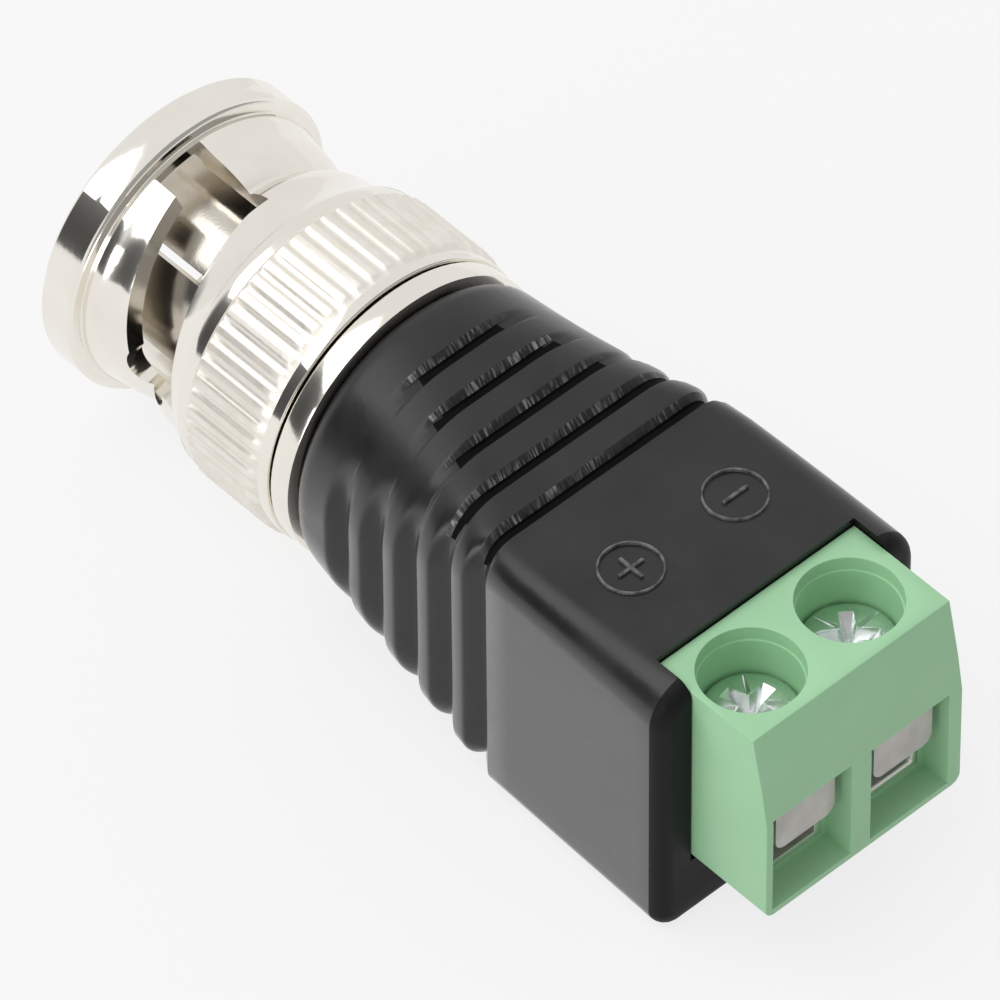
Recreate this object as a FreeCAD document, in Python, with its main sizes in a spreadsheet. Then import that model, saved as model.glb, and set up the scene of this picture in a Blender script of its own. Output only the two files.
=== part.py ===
import FreeCAD, Part
import math
import os
import Sketcher

# Bayonet plug to two pole screw terminal adapter, one coaxial lead in, two bare wires out.
# Frame: X runs along the plug axis, out of the mating mouth. Z is up, Y is to the left side.
# The origin is on the plug axis in the mouth plane of the contact sleeve. Millimetres.

os.makedirs("parts", exist_ok=True)
doc = FreeCAD.newDocument("adapter")

# Driving sizes
SIZES = [
    ("nut_front", 0.64, "front rim of the coupling nut"),
    ("nut_rear", -12.2, "rear edge of the coupling nut"),
    ("nut_rim_radius", 6.6, "outside of the front ring"),
    ("nut_rim_rear", -1.2, "rear edge of the front ring"),
    ("nut_step_radius", 6.05, "small step behind the front ring"),
    ("nut_step_rear", -1.6, "rear end of the small step"),
    ("nut_neck_radius", 5.35, "narrowest place of the waist"),
    ("nut_neck_x", -4.3, "where the waist is narrowest"),
    ("nut_collar_radius", 6.5, "smooth collar in front of the knurl"),
    ("nut_collar_x", -7.2, "front of the smooth collar"),
    ("knurl_front", -7.75, "front end of the knurl"),
    ("knurl_rear", -11.7, "rear end of the knurl"),
    ("knurl_radius", 6.65, "tips of the knurl"),
    ("knurl_depth", 0.24, "depth of one knurl groove"),
    ("knurl_half_width", 0.27, "half width of one knurl groove at the tips"),
    ("knurl_count", 54, "grooves round the knurl"),
    ("nut_bore_radius", 4.9, "bore that takes the mating barrel"),
    ("nut_bore_end", -9.55, "floor of the bore, where the thrust washer sits"),
    ("nut_hub_radius", 4.25, "bore at the rear that runs on the hub"),
    ("lug_channel_radius", 5.6, "depth of the lug channel inside the front ring"),
    ("lug_channel_half", 1.15, "half width of the lug channel"),
    ("window_front", -1.45, "front edge of the bayonet window at its mouth"),
    ("cam_front", -2.35, "front edge of the cam slot where it starts"),
    ("cam_width", 3.0, "width of the cam slot along the axis"),
    ("cam_pitch", 5.4, "axial lead of the cam slot in a full turn"),
    ("cam_turn", 83.0, "angle that the cam slot runs, degrees"),
    ("mouth_turn", 22.0, "angle of the window mouth, degrees"),
    ("detent_radius", 1.15, "round seat at the end of the cam slot"),
    ("detent_x", -4.55, "centre of the round seat"),
    ("nut_rest_turn", 11.0, "turn of the nut in the rest pose, degrees"),
    ("sleeve_radius", 4.05, "outside of the slotted contact sleeve"),
    ("sleeve_bore", 3.5, "bore of the contact sleeve"),
    ("slot_half", 0.22, "half width of a sleeve slot"),
    ("slot_turn", 45.0, "turn of the first sleeve slot from the side, degrees"),
    ("slot_end", -5.2, "rear end of the sleeve slots"),
    ("shoulder_radius", 4.8, "shoulder that carries the spring"),
    ("shoulder_front", -7.55, "front face of the shoulder"),
    ("shoulder_rear", -8.4, "rear face of the shoulder"),
    ("hub_radius", 4.2, "hub that the nut turns on"),
    ("tail_end", -20.5, "rear end of the shell in the housing"),
    ("gasket_seat_front", -6.3, "front end of the turned seat of the seal ring"),
    ("gasket_seat_radius", 3.85, "turned seat of the seal ring"),
    ("gasket_front", -6.55, "front face of the seal ring"),
    ("washer_front", -9.2, "front face of the thrust washer"),
    ("washer_rear", -9.5, "rear face of the thrust washer"),
    ("spring_thick", 0.2, "thickness of the coned spring washer"),
    ("collar_radius", 6.4, "ring behind the nut"),
    ("collar_front", -12.25, "front face of the ring"),
    ("collar_rear", -13.3, "rear face of the ring"),
    ("insulator_front", -4.6, "front face of the insulator"),
    ("insulator_rear", -19.6, "rear end of the insulator"),
    ("insulator_step_radius", 2.4, "radius of the front boss of the insulator"),
    ("insulator_step", -3.6, "front face of the boss"),
    ("pin_radius", 0.675, "centre contact"),
    ("pin_front", -0.5, "tip of the centre contact"),
    ("pin_wall_end", -3.4, "rear end of the contact's free length"),
    ("pin_neck_radius", 0.5, "relief between the free length and the body"),
    ("pin_body_front", -3.8, "front shoulder of the contact's body"),
    ("pin_body_radius", 0.9, "body of the contact in the insulator"),
    ("pin_rear", -22.6, "rear end of the centre contact"),
    ("pin_cup_radius", 1.1, "solder cup of the centre contact"),
    ("pin_cup_front", -20.2, "front of the solder cup"),
    ("gap_run", 0.05, "running clearance"),
    ("gap_seat", 0.02, "seat clearance"),
    ("housing_front", -13.35, "front end of the housing"),
    ("housing_front_half", 6.3, "half size of the round front end"),
    ("housing_front_corner", 6.2, "corner radius of the round front end"),
    ("block_front", -24.2, "front end of the plain block"),
    ("block_front_half", 6.3, "half width of the block at its front"),
    ("block_front_top", 5.7, "top of the block at its front"),
    ("block_front_bottom", -7.15, "bottom of the block at its front"),
    ("block_front_corner", 1.5, "corner radius at the block front"),
    ("block_rear", -34.0, "rear end of the block"),
    ("block_rear_half", 6.55, "half width of the block at its rear"),
    ("block_rear_top", 5.87, "top of the block at its rear"),
    ("block_rear_bottom", -7.3, "bottom of the block at its rear"),
    ("block_rear_corner", 1.3, "corner radius at the block rear"),
    ("base_trim", 0.02, "depth that the flat base is cut"),
    ("block_edge", 0.7, "rounding of the rear end"),
    ("lip_edge", 0.6, "rounding of the front lip"),
    ("groove_first", -16.1, "centre of the first groove"),
    ("groove_pitch", 1.9, "distance from groove to groove"),
    ("groove_half", 0.24, "half width of a groove"),
    ("groove_depth", 0.38, "depth of a groove"),
    ("chamber_front", -20.6, "front wall of the lead chamber"),
    ("chamber_half", 3.6, "half size of the lead chamber"),
    ("mark_x", -28.2, "centre of the polarity rings"),
    ("mark_half_span", 2.65, "rings from the middle plane"),
    ("mark_ring_outer", 1.32, "outside of a polarity ring"),
    ("mark_ring_inner", 1.18, "inside of a polarity ring"),
    ("mark_arm", 0.62, "half length of an arm of a polarity mark"),
    ("mark_arm_half", 0.09, "half width of an arm"),
    ("mark_top", 5.9, "top of the raised marks"),
    ("mark_base", 5.5, "where the marks start in the block"),
    ("green_back", -32.1, "rear wall of the terminal block"),
    ("green_front", -38.0, "front face of the terminal block"),
    ("green_top_front", -37.2, "front edge of the top face"),
    ("green_half", 5.0, "half width of the terminal block"),
    ("green_top", 5.5, "top face"),
    ("green_bottom", -3.95, "bottom face"),
    ("green_knee", 1.2, "where the sloped front turns upright"),
    ("green_edge", 0.45, "rounding of the lower edges"),
    ("pole_positive", 2.65, "middle of the positive pole"),
    ("pole_negative", -2.35, "middle of the negative pole"),
    ("well_radius", 2.0, "driver well"),
    ("well_mouth_radius", 2.08, "driver well above its step"),
    ("well_step", 4.85, "height of the step in the driver well"),
    ("well_x", -34.64, "axis of the terminal screws"),
    ("window_half", 2.0, "half width of a wire window"),
    ("window_top", 1.35, "top of a wire window"),
    ("window_bottom", -3.65, "floor of a wire window"),
    ("window_wall", -37.65, "inner face of the front wall"),
    ("guard_room_top", 1.9, "top of the room for the wire guard"),
    ("cage_front", -36.7, "front of the contact frame"),
    ("cage_rear", -32.8, "rear of the contact frame"),
    ("cage_half", 1.7, "half width of the contact frame"),
    ("cage_wall", 0.35, "sheet thickness of the contact frame"),
    ("cage_bottom", -3.35, "bottom of the contact frame"),
    ("cage_top", 0.4, "top of the contact frame"),
    ("cage_roof", -0.4, "underside of the tapped roof"),
    ("tail_half", 0.5, "half width of the solder tail"),
    ("tail_out", -30.4, "end of the solder tail"),
    ("guard_front", -37.6, "front face of the wire guard"),
    ("guard_thick", 0.4, "thickness of the wire guard leg"),
    ("guard_half", 1.5, "half width of the wire guard leg"),
    ("guard_low", -1.1, "lower edge of the wire guard"),
    ("guard_high", 1.7, "upper edge of the wire guard"),
    ("guard_tongue_top", -0.5, "top of the guard tongue"),
    ("guard_tongue_rear", -33.2, "rear end of the guard tongue"),
    ("guard_tongue_half", 1.05, "half width of the guard tongue"),
    ("guard_corner", 0.5, "rounded lower corners of the guard"),
    ("screw_head_radius", 1.88, "head of the terminal screw"),
    ("screw_head_top", 3.6, "top of the head"),
    ("screw_head_low", 2.35, "underside of the head"),
    ("screw_radius", 1.25, "screw shank"),
    ("screw_tip", -0.48, "tip of the screw"),
    ("screw_edge", 0.3, "rounding of the head"),
    ("recess_half", 0.28, "half width of the cross recess"),
    ("recess_arm", 1.15, "half length of the cross recess"),
    ("recess_floor", 2.7, "floor of the cross recess"),
    ("lead_core_radius", 0.3, "bare conductor"),
    ("lead_jacket_radius", 0.62, "insulated lead"),
    ("lead_bend", 1.6, "bending radius of a lead at its middle line"),
]

sheet = doc.addObject("Spreadsheet::Sheet", "Sizes")
VALUE = {}
for row, (alias, value, note) in enumerate(SIZES, start=1):
    sheet.set("A%d" % row, note)
    sheet.set("B%d" % row, str(value))
    sheet.setAlias("B%d" % row, alias)
    VALUE[alias] = value
doc.recompute()

GROOVES = 5


def number(text):
    """Value of an expression in the sheet's names."""
    return float(work_out(text))


def work_out(text):
    """Work out sums, products and brackets of names from the sheet."""
    tokens = text.replace("(", " ( ").replace(")", " ) ").split()
    return parse_sum(tokens)


def parse_sum(tokens):
    total = parse_product(tokens)
    while tokens and tokens[0] in ("+", "-"):
        sign = tokens.pop(0)
        term = parse_product(tokens)
        total = total + term if sign == "+" else total - term
    return total


def parse_product(tokens):
    total = parse_atom(tokens)
    while tokens and tokens[0] in ("*", "/"):
        sign = tokens.pop(0)
        factor = parse_atom(tokens)
        total = total * factor if sign == "*" else total / factor
    return total


def parse_atom(tokens):
    word = tokens.pop(0)
    if word == "(":
        total = parse_sum(tokens)
        tokens.pop(0)
        return total
    if word == "-":
        return -parse_atom(tokens)
    if word in VALUE:
        return VALUE[word]
    return float(word)


def formula(text):
    """The same expression with the sheet's prefix in front of each name."""
    words = text.replace("(", " ( ").replace(")", " ) ").split()
    return " ".join("Sizes." + word if word in VALUE else word for word in words)


def new_body(label):
    body = doc.addObject("PartDesign::Body", label)
    body.Label = label
    return body


def plane_of(body, role):
    for item in body.Origin.OriginFeatures:
        if item.Role == role:
            return item
    raise ValueError(role)


def new_sketch(body, name, role, offset=None):
    """Sketch on an origin plane, moved along the plane's normal by an expression."""
    sketch = body.newObject("Sketcher::SketchObject", name)
    sketch.AttachmentSupport = [(plane_of(body, role), "")]
    sketch.MapMode = "FlatFace"
    if offset is not None:
        sketch.AttachmentOffset = FreeCAD.Placement(
            FreeCAD.Vector(0, 0, number(offset)), FreeCAD.Rotation())
        sketch.setExpression("AttachmentOffset.Base.z", formula(offset))
    return sketch


def pin_point(sketch, geo, position, across, up):
    """Fix one point of a sketch with two sizes from the sheet."""
    first = sketch.addConstraint(
        Sketcher.Constraint("DistanceX", -1, 1, geo, position, number(across)))
    sketch.setExpression("Constraints[%d]" % first, formula(across))
    second = sketch.addConstraint(
        Sketcher.Constraint("DistanceY", -1, 1, geo, position, number(up)))
    sketch.setExpression("Constraints[%d]" % second, formula(up))


def add_polygon(sketch, points):
    """Closed outline through points, each a pair of expressions."""
    start = sketch.GeometryCount
    count = len(points)
    values = [FreeCAD.Vector(number(a), number(b), 0) for a, b in points]
    for index in range(count):
        line = Part.LineSegment(values[index], values[(index + 1) % count])
        sketch.addGeometry(line, False)
    for index in range(count):
        following = start + (index + 1) % count
        sketch.addConstraint(
            Sketcher.Constraint("Coincident", start + index, 2, following, 1))
    for index, (across, up) in enumerate(points):
        pin_point(sketch, start + index, 1, across, up)


def add_circle(sketch, across, up, radius):
    centre = FreeCAD.Vector(number(across), number(up), 0)
    circle = Part.Circle(centre, FreeCAD.Vector(0, 0, 1), number(radius))
    index = sketch.addGeometry(circle, False)
    size = sketch.addConstraint(Sketcher.Constraint("Radius", index, number(radius)))
    sketch.setExpression("Constraints[%d]" % size, formula(radius))
    pin_point(sketch, index, 3, across, up)


def add_rounded(sketch, left, right, low, high, corner):
    """Rounded rectangle with its four sides and corner radius from the sheet."""
    start = sketch.GeometryCount
    a, b, c, d, r = (number(text) for text in (left, right, low, high, corner))
    vector = FreeCAD.Vector
    normal = vector(0, 0, 1)
    lines = [
        (vector(a + r, c, 0), vector(b - r, c, 0)),
        (vector(b, c + r, 0), vector(b, d - r, 0)),
        (vector(b - r, d, 0), vector(a + r, d, 0)),
        (vector(a, d - r, 0), vector(a, c + r, 0)),
    ]
    arcs = [
        (vector(b - r, c + r, 0), -math.pi / 2, 0),
        (vector(b - r, d - r, 0), 0, math.pi / 2),
        (vector(a + r, d - r, 0), math.pi / 2, math.pi),
        (vector(a + r, c + r, 0), math.pi, 3 * math.pi / 2),
    ]
    for (first, second), (centre, begin, finish) in zip(lines, arcs):
        sketch.addGeometry(Part.LineSegment(first, second), False)
        circle = Part.Circle(centre, normal, r)
        sketch.addGeometry(Part.ArcOfCircle(circle, begin, finish), False)
    for index in range(4):
        line = start + 2 * index
        arc = line + 1
        following = start + (2 * index + 2) % 8
        sketch.addConstraint(Sketcher.Constraint("Tangent", line, 2, arc, 1))
        sketch.addConstraint(Sketcher.Constraint("Tangent", arc, 2, following, 1))
        kind = "Horizontal" if index % 2 == 0 else "Vertical"
        sketch.addConstraint(Sketcher.Constraint(kind, line))
        if index:
            sketch.addConstraint(Sketcher.Constraint("Equal", start + 1, arc))
    size = sketch.addConstraint(Sketcher.Constraint("Radius", start + 1, r))
    sketch.setExpression("Constraints[%d]" % size, formula(corner))
    sides = [(start, "DistanceY", low), (start + 2, "DistanceX", right),
             (start + 4, "DistanceY", high), (start + 6, "DistanceX", left)]
    for line, kind, text in sides:
        fixed = sketch.addConstraint(
            Sketcher.Constraint(kind, -1, 1, line, 1, number(text)))
        sketch.setExpression("Constraints[%d]" % fixed, formula(text))


def revolve(body, name, points):
    """Turned piece: outline of x and radius about the plug axis."""
    sketch = new_sketch(body, name + "_outline", "XY_Plane")
    add_polygon(sketch, points)
    turned = body.newObject("PartDesign::Revolution", name)
    turned.Profile = sketch
    turned.ReferenceAxis = (sketch, ["H_Axis"])
    turned.Angle = 360.0
    return turned


def pad(body, name, sketch, length, reverse=False, middle=False):
    feature = body.newObject("PartDesign::Pad", name)
    feature.Profile = sketch
    feature.Length = abs(number(length))
    feature.setExpression("Length", formula(length))
    feature.Reversed = reverse
    feature.Midplane = middle
    return feature


def pocket(body, name, sketch, length, reverse=False, middle=False):
    feature = body.newObject("PartDesign::Pocket", name)
    feature.Profile = sketch
    feature.Length = abs(number(length))
    feature.setExpression("Length", formula(length))
    feature.Reversed = reverse
    feature.Midplane = middle
    return feature


# Coupling nut: turned outside, two cam windows with lug channels, straight knurl
nut = new_body("coupling_nut")
revolve(nut, "nut_turned", [
    ("nut_front", "nut_bore_radius + 0.2"),
    ("nut_front", "nut_rim_radius - 0.25"),
    ("nut_front - 0.2", "nut_rim_radius"),
    ("nut_rim_rear + 0.12", "nut_rim_radius"),
    ("nut_rim_rear", "nut_rim_radius - 0.12"),
    ("nut_rim_rear - 0.06", "nut_step_radius"),
    ("nut_step_rear", "nut_step_radius"),
    ("nut_step_rear - 0.5", "nut_step_radius - 0.06"),
    ("nut_neck_x + 1.5", "nut_neck_radius + 0.48"),
    ("nut_neck_x + 0.9", "nut_neck_radius + 0.2"),
    ("nut_neck_x + 0.35", "nut_neck_radius + 0.04"),
    ("nut_neck_x", "nut_neck_radius"),
    ("nut_neck_x - 0.4", "nut_neck_radius + 0.1"),
    ("nut_neck_x - 0.8", "nut_neck_radius + 0.32"),
    ("nut_neck_x - 1.3", "nut_neck_radius + 0.6"),
    ("nut_neck_x - 2.0", "nut_neck_radius + 0.92"),
    ("nut_collar_x", "nut_collar_radius"),
    ("knurl_front", "nut_collar_radius"),
    ("knurl_front - 0.15", "knurl_radius"),
    ("knurl_rear + 0.15", "knurl_radius"),
    ("knurl_rear", "nut_collar_radius - 0.02"),
    ("nut_rear + 0.12", "nut_collar_radius - 0.02"),
    ("nut_rear", "nut_collar_radius - 0.14"),
    ("nut_rear", "nut_hub_radius + 0.15"),
    ("nut_rear + 0.15", "nut_hub_radius"),
    ("nut_bore_end", "nut_hub_radius"),
    ("nut_bore_end", "nut_bore_radius"),
    ("nut_front - 0.2", "nut_bore_radius"),
])
doc.recompute()
channel_sketch = new_sketch(nut, "channel_outline", "YZ_Plane", "nut_front")
add_polygon(channel_sketch, [
    ("- lug_channel_half", "nut_bore_radius - 1"),
    ("lug_channel_half", "nut_bore_radius - 1"),
    ("lug_channel_half", "lug_channel_radius"),
    ("- lug_channel_half", "lug_channel_radius"),
])
channel = pocket(nut, "lug_channel", channel_sketch, "nut_front - window_front + 0.2")
mouth_sketch = new_sketch(nut, "mouth_outline", "XZ_Plane")
add_polygon(mouth_sketch, [
    ("window_front", "nut_bore_radius - 0.4"),
    ("window_front", "nut_rim_radius + 0.4"),
    ("cam_front - cam_width", "nut_rim_radius + 0.4"),
    ("cam_front - cam_width", "nut_bore_radius - 0.4"),
])
mouth = nut.newObject("PartDesign::Groove", "window_mouth")
mouth.Profile = mouth_sketch
mouth.ReferenceAxis = (mouth_sketch, ["H_Axis"])
mouth.Midplane = True
mouth.Angle = number("mouth_turn")
mouth.setExpression("Angle", formula("mouth_turn"))
doc.recompute()
detent_sketch = new_sketch(nut, "detent_outline", "XZ_Plane")
add_circle(detent_sketch, "detent_x", "lug_channel_half / 2", "detent_radius")
detent = pocket(nut, "detent_seat", detent_sketch, "nut_rim_radius + 1")
doc.recompute()
cam_sketch = new_sketch(nut, "cam_outline", "XZ_Plane")
add_polygon(cam_sketch, [
    ("cam_front", "nut_bore_radius - 0.4"),
    ("cam_front", "nut_rim_radius + 0.4"),
    ("cam_front - cam_width", "nut_rim_radius + 0.4"),
    ("cam_front - cam_width", "nut_bore_radius - 0.4"),
])
cam = nut.newObject("PartDesign::SubtractiveHelix", "cam_slot")
cam.Profile = cam_sketch
cam.ReferenceAxis = (cam_sketch, ["H_Axis"])
cam.Mode = 0
cam.Pitch = number("cam_pitch")
cam.setExpression("Pitch", formula("cam_pitch"))
cam.Height = number("cam_pitch * cam_turn / 360")
cam.setExpression("Height", formula("cam_pitch * cam_turn / 360"))
cam.Reversed = True
cam.LeftHanded = False
doc.recompute()
pair = nut.newObject("PartDesign::PolarPattern", "two_windows")
pair.Originals = [channel, mouth, detent, cam]
pair.Axis = (cam_sketch, ["H_Axis"])
pair.Angle = 360.0
pair.Occurrences = 2
nut.Tip = pair
doc.recompute()
tooth_sketch = new_sketch(nut, "knurl_outline", "YZ_Plane", "knurl_front + 0.3")
add_polygon(tooth_sketch, [
    ("0", "knurl_radius - knurl_depth"),
    ("knurl_half_width", "knurl_radius + 0.06"),
    ("- knurl_half_width", "knurl_radius + 0.06"),
])
tooth = pocket(nut, "knurl_groove", tooth_sketch, "knurl_front - knurl_rear + 0.35")
doc.recompute()
teeth = nut.newObject("PartDesign::PolarPattern", "knurl")
teeth.Originals = [tooth]
teeth.Axis = (tooth_sketch, ["N_Axis"])
teeth.Angle = 360.0
teeth.Occurrences = int(number("knurl_count"))
teeth.setExpression("Occurrences", formula("knurl_count"))
nut.Tip = teeth
nut.Placement = FreeCAD.Placement(
    FreeCAD.Vector(0, 0, 0),
    FreeCAD.Rotation(FreeCAD.Vector(1, 0, 0), -number("nut_rest_turn")))
nut.setExpression("Placement.Rotation.Angle", "-1deg * Sizes.nut_rest_turn")
doc.recompute()

# Thrust washer between the spring and the nut
washer = new_body("thrust_washer")
revolve(washer, "washer_turned", [
    ("washer_front", "hub_radius + gap_run"),
    ("washer_front", "shoulder_radius"),
    ("washer_rear", "shoulder_radius"),
    ("washer_rear", "hub_radius + gap_run"),
])

# Seal ring at the root of the contact sleeve
gasket = new_body("seal_gasket")
revolve(gasket, "gasket_turned", [
    ("gasket_front", "gasket_seat_radius + gap_seat + 0.15"),
    ("gasket_front", "shoulder_radius - 0.15"),
    ("gasket_front - 0.15", "shoulder_radius"),
    ("shoulder_front + gap_seat", "shoulder_radius"),
    ("shoulder_front + gap_seat", "gasket_seat_radius + gap_seat"),
    ("gasket_front - 0.15", "gasket_seat_radius + gap_seat"),
])

# Plug shell: slotted sleeve, shoulder, hub and tail turned from one bar
shell = new_body("plug_shell")
revolve(shell, "shell_turned", [
    ("0", "sleeve_bore + 0.12"),
    ("0", "sleeve_radius - 0.12"),
    ("-0.15", "sleeve_radius"),
    ("gasket_seat_front", "sleeve_radius"),
    ("gasket_seat_front", "gasket_seat_radius"),
    ("shoulder_front", "gasket_seat_radius"),
    ("shoulder_front", "shoulder_radius"),
    ("shoulder_rear", "shoulder_radius"),
    ("shoulder_rear", "hub_radius"),
    ("tail_end", "hub_radius"),
    ("tail_end", "sleeve_bore"),
    ("-0.15", "sleeve_bore"),
])
doc.recompute()
slot_sketch = new_sketch(shell, "slot_outline", "YZ_Plane", "gap_run")
slot_sketch.AttachmentOffset = FreeCAD.Placement(
    slot_sketch.AttachmentOffset.Base,
    FreeCAD.Rotation(FreeCAD.Vector(0, 0, 1), number("slot_turn")))
add_polygon(slot_sketch, [
    ("- slot_half", "sleeve_bore - 1"),
    ("slot_half", "sleeve_bore - 1"),
    ("slot_half", "sleeve_radius + 1"),
    ("- slot_half", "sleeve_radius + 1"),
])
slot_sketch.setExpression("AttachmentOffset.Rotation.Angle", "1deg * Sizes.slot_turn")
slot = pocket(shell, "sleeve_slot", slot_sketch, "gap_run - slot_end")
doc.recompute()
slots = shell.newObject("PartDesign::PolarPattern", "sleeve_slots")
slots.Originals = [slot]
slots.Axis = (slot_sketch, ["N_Axis"])
slots.Angle = 360.0
slots.Occurrences = 4
shell.Tip = slots
doc.recompute()

# Ring pressed on the hub behind the nut
ring = new_body("body_collar")
revolve(ring, "collar_turned", [
    ("collar_front", "hub_radius + gap_seat"),
    ("collar_front", "collar_radius - 0.12"),
    ("collar_front - 0.12", "collar_radius"),
    ("collar_rear", "collar_radius"),
    ("collar_rear", "hub_radius + gap_seat"),
])

# Insulator that holds the centre contact in the sleeve
insulator = new_body("insulator")
revolve(insulator, "insulator_turned", [
    ("insulator_step", "pin_body_radius + gap_seat"),
    ("insulator_step", "insulator_step_radius"),
    ("insulator_front", "insulator_step_radius"),
    ("insulator_front", "sleeve_bore - gap_seat"),
    ("insulator_rear", "sleeve_bore - gap_seat"),
    ("insulator_rear", "pin_body_radius + gap_seat"),
])

# Centre contact with its solder cup
contact = new_body("center_pin")
revolve(contact, "pin_turned", [
    ("pin_front", "0"),
    ("pin_front", "0.22"),
    ("pin_front - 0.25", "0.45"),
    ("pin_front - 0.9", "pin_radius"),
    ("pin_wall_end", "pin_radius"),
    ("pin_wall_end", "pin_neck_radius"),
    ("pin_body_front", "pin_neck_radius"),
    ("pin_body_front", "pin_body_radius"),
    ("pin_cup_front", "pin_body_radius"),
    ("pin_cup_front", "pin_cup_radius"),
    ("pin_rear", "pin_cup_radius"),
    ("pin_rear", "lead_core_radius + gap_seat"),
    ("pin_rear + 1.4", "lead_core_radius + gap_seat"),
    ("pin_rear + 1.4", "0"),
])

# Coned spring washer that draws the nut back
spring = new_body("spring_washer")
revolve(spring, "spring_turned", [
    ("shoulder_rear - gap_seat", "hub_radius + gap_run"),
    ("shoulder_rear - gap_seat - spring_thick", "hub_radius + gap_run"),
    ("washer_front + gap_seat", "shoulder_radius"),
    ("washer_front + gap_seat + spring_thick", "shoulder_radius"),
])
doc.recompute()

# Housing: round at the nut, rounded block at the terminals, ribbed between them
housing = new_body("housing")
sections = []
for name, place, left, right, low, high, corner in (
        ("front_end", "housing_front", "- housing_front_half", "housing_front_half",
         "- housing_front_half", "housing_front_half", "housing_front_corner"),
        ("block_start", "block_front", "- block_front_half", "block_front_half",
         "block_front_bottom", "block_front_top", "block_front_corner"),
        ("block_end", "block_rear", "- block_rear_half", "block_rear_half",
         "block_rear_bottom", "block_rear_top", "block_rear_corner")):
    section = new_sketch(housing, name, "YZ_Plane", place)
    add_rounded(section, left, right, low, high, corner)
    sections.append(section)
doc.recompute()
loft = housing.newObject("PartDesign::AdditiveLoft", "housing_loft")
loft.Profile = sections[0]
loft.Sections = sections[1:]
loft.Ruled = True
doc.recompute()


def edges_at(shape, place):
    """Names of the edges that lie in the plane x = place."""
    names = []
    for index, edge in enumerate(shape.Edges, start=1):
        box = edge.BoundBox
        if abs(box.XMin - place) < 1e-4 and abs(box.XMax - place) < 1e-4:
            names.append("Edge%d" % index)
    return names


def fillet(body, name, base, edges, radius):
    feature = body.newObject("PartDesign::Fillet", name)
    feature.Base = (base, edges)
    feature.Radius = number(radius)
    feature.setExpression("Radius", formula(radius))
    doc.recompute()
    return feature


rear_round = fillet(housing, "rear_round", loft,
                    edges_at(loft.Shape, number("block_rear")), "block_edge")
lip_round = fillet(housing, "lip_round", rear_round,
                   edges_at(rear_round.Shape, number("housing_front")), "lip_edge")
slope = " * ( block_front_bottom - block_rear_bottom ) / ( block_front - block_rear )"
base_sketch = new_sketch(housing, "base_outline", "XZ_Plane")
add_polygon(base_sketch, [
    ("block_front + block_edge",
     "block_front_bottom + base_trim + block_edge" + slope),
    ("block_rear - block_edge", "block_rear_bottom + base_trim - block_edge" + slope),
    ("block_rear - block_edge", "block_rear_bottom - block_edge"),
    ("block_front + block_edge", "block_rear_bottom - block_edge"),
])
pocket(housing, "flat_base", base_sketch, "4 * block_rear_half", middle=True)
doc.recompute()
for index in range(GROOVES):
    place = "( groove_first - %d * groove_pitch )" % index
    share = "( ( housing_front - " + place + " ) / ( housing_front - block_front ) )"
    half = "( housing_front_half + ( block_front_half - housing_front_half ) * " \
        + share + " - groove_depth )"
    high = "( housing_front_half + ( block_front_top - housing_front_half ) * " \
        + share + " - groove_depth )"
    low = "( ( block_front_bottom + housing_front_half ) * " \
        + share + " + groove_depth - housing_front_half )"
    corner = "( housing_front_corner + ( block_front_corner - housing_front_corner ) * " \
        + share + " - groove_depth * 0.6 )"
    ring_sketch = new_sketch(housing, "groove_outline_%d" % (index + 1), "YZ_Plane",
                             place + " + groove_half")
    add_rounded(ring_sketch, "0 - " + half, half, low, high, corner)
    add_polygon(ring_sketch, [("-9", "-9"), ("9", "-9"), ("9", "9"), ("-9", "9")])
    groove = pocket(housing, "rib_groove_%d" % (index + 1), ring_sketch, "2 * groove_half")
    doc.recompute()
mark_sketch = new_sketch(housing, "mark_outline", "XY_Plane", "mark_base")
for side in ("mark_half_span", "- mark_half_span"):
    add_circle(mark_sketch, "mark_x", side, "mark_ring_outer")
    add_circle(mark_sketch, "mark_x", side, "mark_ring_inner")
plus = "mark_half_span"
add_polygon(mark_sketch, [
    ("mark_x - mark_arm", plus + " - mark_arm_half"),
    ("mark_x - mark_arm_half", plus + " - mark_arm_half"),
    ("mark_x - mark_arm_half", plus + " - mark_arm"),
    ("mark_x + mark_arm_half", plus + " - mark_arm"),
    ("mark_x + mark_arm_half", plus + " - mark_arm_half"),
    ("mark_x + mark_arm", plus + " - mark_arm_half"),
    ("mark_x + mark_arm", plus + " + mark_arm_half"),
    ("mark_x + mark_arm_half", plus + " + mark_arm_half"),
    ("mark_x + mark_arm_half", plus + " + mark_arm"),
    ("mark_x - mark_arm_half", plus + " + mark_arm"),
    ("mark_x - mark_arm_half", plus + " + mark_arm_half"),
    ("mark_x - mark_arm", plus + " + mark_arm_half"),
])
minus = "- mark_half_span"
add_polygon(mark_sketch, [
    ("mark_x - mark_arm_half", minus + " - mark_arm"),
    ("mark_x + mark_arm_half", minus + " - mark_arm"),
    ("mark_x + mark_arm_half", minus + " + mark_arm"),
    ("mark_x - mark_arm_half", minus + " + mark_arm"),
])
pad(housing, "polarity_marks", mark_sketch, "mark_top - mark_base")
doc.recompute()
seat_sketch = new_sketch(housing, "terminal_seat_outline", "YZ_Plane", "green_back + gap_run")
add_polygon(seat_sketch, [
    ("- green_half - gap_run", "green_bottom - gap_run"),
    ("green_half + gap_run", "green_bottom - gap_run"),
    ("green_half + gap_run", "green_top + 3"),
    ("- green_half - gap_run", "green_top + 3"),
])
pocket(housing, "terminal_seat", seat_sketch, "green_back - block_rear + 1")
doc.recompute()
chamber_sketch = new_sketch(housing, "chamber_outline", "YZ_Plane", "chamber_front")
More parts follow.
